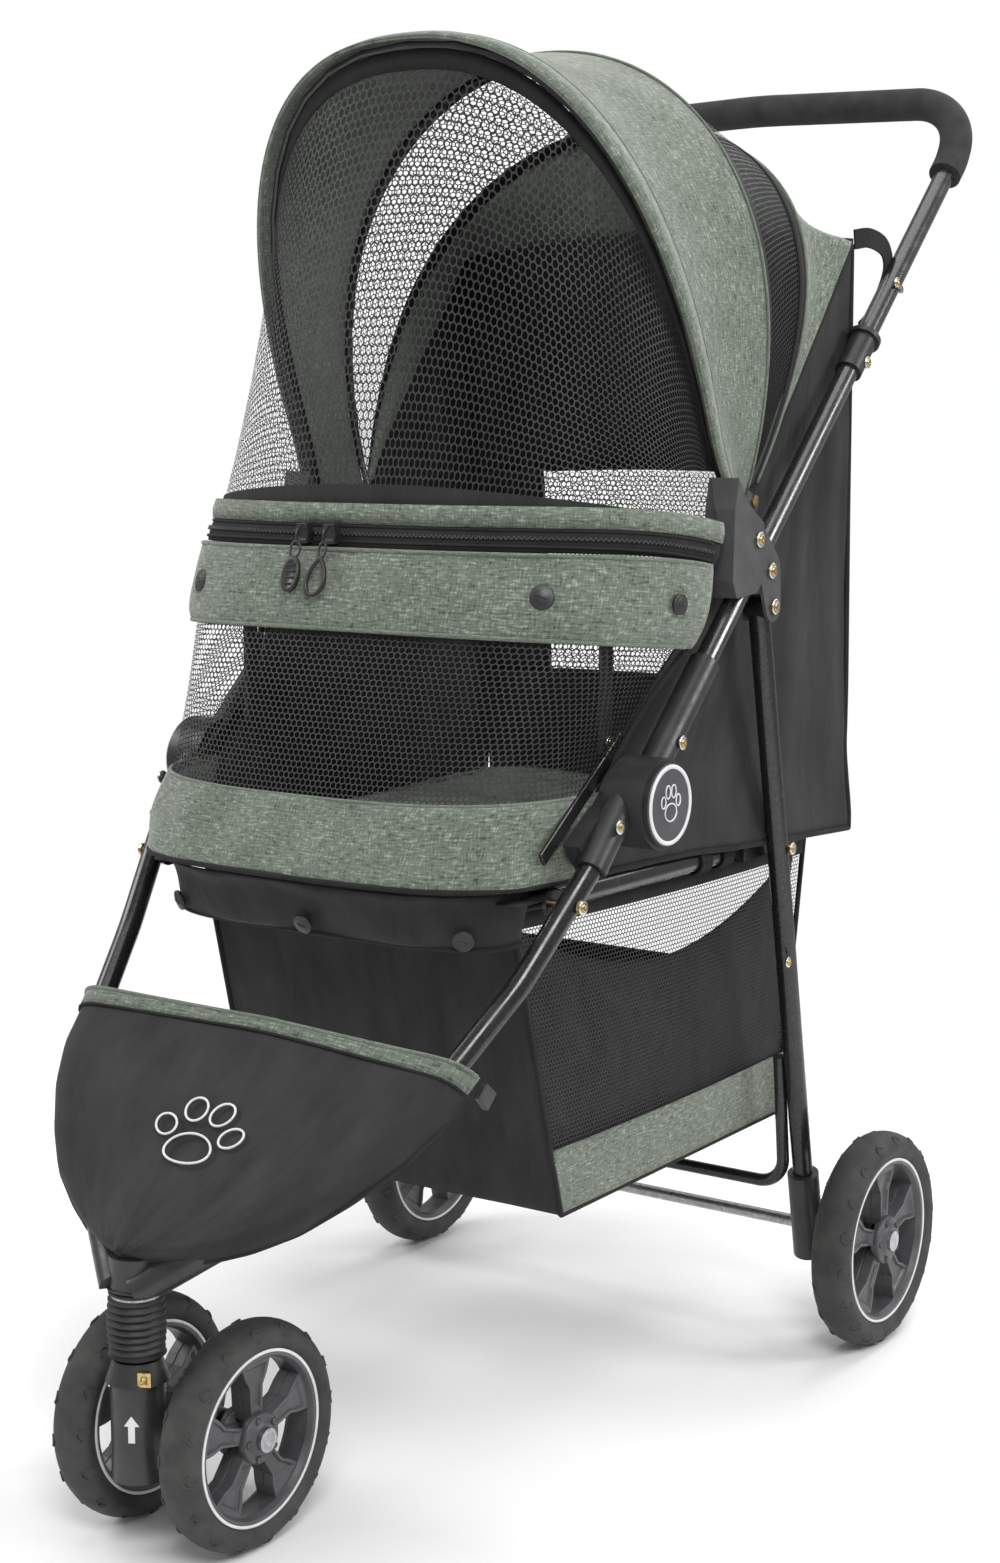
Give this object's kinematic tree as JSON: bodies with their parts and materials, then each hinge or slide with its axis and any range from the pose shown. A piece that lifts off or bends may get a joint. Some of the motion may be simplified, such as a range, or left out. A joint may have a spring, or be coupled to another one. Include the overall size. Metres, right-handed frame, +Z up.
{
  "type": "pet stroller",
  "caption": "Folding three-wheel pet stroller with a tubular frame, fabric cabin, mesh windows, canopy on hoops, under-basket, push handle and sprung swivel front wheels.",
  "frame": {"origin": "on the floor, midway between left and right and midway along the stroller's length", "axes": "+Z up, front towards -Y, +X to the pet's left"},
  "size_m": [0.478, 0.837, 1.0037],
  "materials": {
    "tube_gunmetal": "satin gunmetal powder coat",
    "hoop_wire": "satin black coating",
    "grip_foam": "matte closed-cell foam",
    "black_plastic": "satin black moulded plastic",
    "bracket_plastic": "fine-textured grey-black plastic",
    "brass_rivet": "plain turned heads",
    "zinc_steel": "zinc plated",
    "sage_fabric": "heathered sage-grey woven polyester",
    "black_fabric": "black woven polyester",
    "black_mesh": "open black polyester mesh",
    "sage_pad": "quilted sage polyester over foam",
    "floor_panel": "flat black board",
    "rubber_boot": "ribbed rubber",
    "eva_tyre": "matte foam tyre",
    "rim_plastic": "satin grey plastic"
  },
  "bodies": {
    "upper_frame": {"upper_tube_left": "tube_gunmetal", "upper_tube_right": "tube_gunmetal", "handle_tube": "tube_gunmetal", "handle_grip": "grip_foam", "tube_collars": "black_plastic", "bracket_left": "bracket_plastic", "bracket_right": "bracket_plastic", "frame_rivets": "brass_rivet", "fold_housing_left": "black_plastic", "fold_housing_right": "black_plastic", "fold_caps": "black_plastic", "cabin_sides": "black_fabric", "cabin_front": "sage_fabric", "cabin_back": "black_fabric", "canopy_back": "sage_fabric"},
    "front_frame": {"front_leg_left": "tube_gunmetal", "front_leg_right": "tube_gunmetal", "leg_sleeve_left": "black_plastic", "leg_sleeve_right": "black_plastic", "front_rivets": "brass_rivet", "front_crown": "black_plastic", "apron": "black_fabric"},
    "rear_frame": {"rear_leg_left": "tube_gunmetal", "rear_leg_right": "tube_gunmetal", "rear_crossbar": "tube_gunmetal", "rear_feet": "black_plastic", "rear_axle": "zinc_steel", "rear_rivets": "brass_rivet"},
    "side_link": {"side_tubes": "tube_gunmetal", "floor_board": "floor_panel", "cabin_pad": "sage_pad", "basket": "black_mesh"},
    "front_rail": {"front_rail": "hoop_wire", "front_flap": "sage_fabric", "flap_snaps": "black_plastic", "zipper": "black_plastic"},
    "zip_pull_left": {"zip_pull_left": "black_plastic"},
    "zip_pull_right": {"zip_pull_right": "black_plastic"},
    "canopy_front": {"front_hoop": "hoop_wire", "canopy_front": "sage_fabric", "mesh_door": "black_mesh"},
    "canopy_middle": {"middle_hoop": "hoop_wire", "canopy_mesh": "black_mesh"},
    "handle_button_left": {"handle_button_left": "zinc_steel"},
    "handle_button_right": {"handle_button_right": "zinc_steel"},
    "brake_pedal_left": {"brake_pedal_left": "black_plastic"},
    "brake_pedal_right": {"brake_pedal_right": "black_plastic"},
    "caster": {"swivel_stem": "zinc_steel", "spring_boot": "rubber_boot", "fork_spring": "zinc_steel"},
    "fork": {"caster_fork": "black_plastic", "front_axle_pin": "zinc_steel"},
    "front_wheel_left": {"front_tyre_left": "eva_tyre", "front_rim_left": "rim_plastic"},
    "front_wheel_right": {"front_tyre_right": "eva_tyre", "front_rim_right": "rim_plastic"},
    "rear_wheel_left": {"rear_tyre_left": "eva_tyre", "rear_rim_left": "rim_plastic"},
    "rear_wheel_right": {"rear_tyre_right": "eva_tyre", "rear_rim_right": "rim_plastic"}
  },
  "joints": [
    {"name": "frame_fold", "type": "hinge", "parent": "upper_frame", "child": "front_frame", "pos_m": [0, -0.094, 0.474], "axis": [1, 0, 0], "range_deg": [0, 130], "deforming": ["cabin_sides", "cabin_front", "cabin_back", "apron", "basket", "cabin_pad"]},
    {"name": "rear_fold", "type": "hinge", "parent": "upper_frame", "child": "rear_frame", "pos_m": [0, 0.066, 0.597], "axis": [1, 0, 0], "range_deg": [0, 66.9]},
    {"name": "side_fold", "type": "hinge", "parent": "front_frame", "child": "side_link", "pos_m": [0, -0.171, 0.414], "axis": [1, 0, 0], "range_deg": [-97.7, 0]},
    {"name": "rail_fold", "type": "hinge", "parent": "upper_frame", "child": "front_rail", "pos_m": [0, 0.028, 0.617], "axis": [1, 0, 0], "range_deg": [0, 30], "deforming": ["front_flap", "zipper"]},
    {"name": "zip_pull_left_swing", "type": "hinge", "parent": "front_rail", "child": "zip_pull_left", "pos_m": [-0.021, -0.1672, 0.645], "axis": [1, 0, 0], "range_deg": [-68, 0]},
    {"name": "zip_pull_right_swing", "type": "hinge", "parent": "front_rail", "child": "zip_pull_right", "pos_m": [-0.045, -0.1672, 0.645], "axis": [1, 0, 0], "range_deg": [-68, 0]},
    {"name": "canopy_fold", "type": "hinge", "parent": "upper_frame", "child": "canopy_front", "pos_m": [0, 0.042, 0.646], "axis": [1, 0, 0], "range_deg": [-45, 0], "deforming": ["canopy_front", "mesh_door", "canopy_mesh", "canopy_back"]},
    {"name": "canopy_middle_fold", "type": "hinge", "parent": "upper_frame", "child": "canopy_middle", "pos_m": [0, 0.074, 0.672], "axis": [1, 0, 0], "range_deg": [-20.3, 0]},
    {"name": "handle_button_left_press", "type": "slide", "parent": "upper_frame", "child": "handle_button_left", "axis": [-1, 0, 0], "range_m": [0, 0.003], "stiffness_N_per_m": 800, "springref_m": -0.003},
    {"name": "handle_button_right_press", "type": "slide", "parent": "upper_frame", "child": "handle_button_right", "axis": [1, 0, 0], "range_m": [0, 0.003], "stiffness_N_per_m": 800, "springref_m": -0.003},
    {"name": "brake_left", "type": "hinge", "parent": "rear_frame", "child": "brake_pedal_left", "pos_m": [0, 0.244, 0.092], "axis": [1, 0, 0], "range_deg": [-20, 0]},
    {"name": "brake_right", "type": "hinge", "parent": "rear_frame", "child": "brake_pedal_right", "pos_m": [0, 0.244, 0.092], "axis": [1, 0, 0], "range_deg": [-20, 0]},
    {"name": "caster_swivel", "type": "hinge", "parent": "front_frame", "child": "caster", "pos_m": [0, -0.395, 0.2], "axis": [0, 0, 1], "continuous": true},
    {"name": "front_suspension", "type": "slide", "parent": "caster", "child": "fork", "axis": [0, 0, 1], "range_m": [0, 0.012], "stiffness_N_per_m": 6000, "springref_m": -0.01, "deforming": ["spring_boot", "fork_spring"]},
    {"name": "front_wheel_left_spin", "type": "hinge", "parent": "fork", "child": "front_wheel_left", "pos_m": [0, -0.342, 0.076], "axis": [1, 0, 0], "continuous": true},
    {"name": "rear_wheel_left_spin", "type": "hinge", "parent": "rear_frame", "child": "rear_wheel_left", "pos_m": [0, 0.22, 0.085], "axis": [1, 0, 0], "continuous": true},
    {"name": "front_wheel_right_spin", "type": "hinge", "parent": "fork", "child": "front_wheel_right", "pos_m": [0, -0.342, 0.076], "axis": [1, 0, 0], "continuous": true},
    {"name": "rear_wheel_right_spin", "type": "hinge", "parent": "rear_frame", "child": "rear_wheel_right", "pos_m": [0, 0.22, 0.085], "axis": [1, 0, 0], "continuous": true}
  ],
  "couplings": [
    {"joint": "rear_fold", "follows": "frame_fold", "ratio": 0.514},
    {"joint": "side_fold", "follows": "frame_fold", "ratio": -0.751},
    {"joint": "rail_fold", "follows": "frame_fold", "ratio": 0.23},
    {"joint": "canopy_middle_fold", "follows": "canopy_fold", "ratio": 0.45}
  ]
}
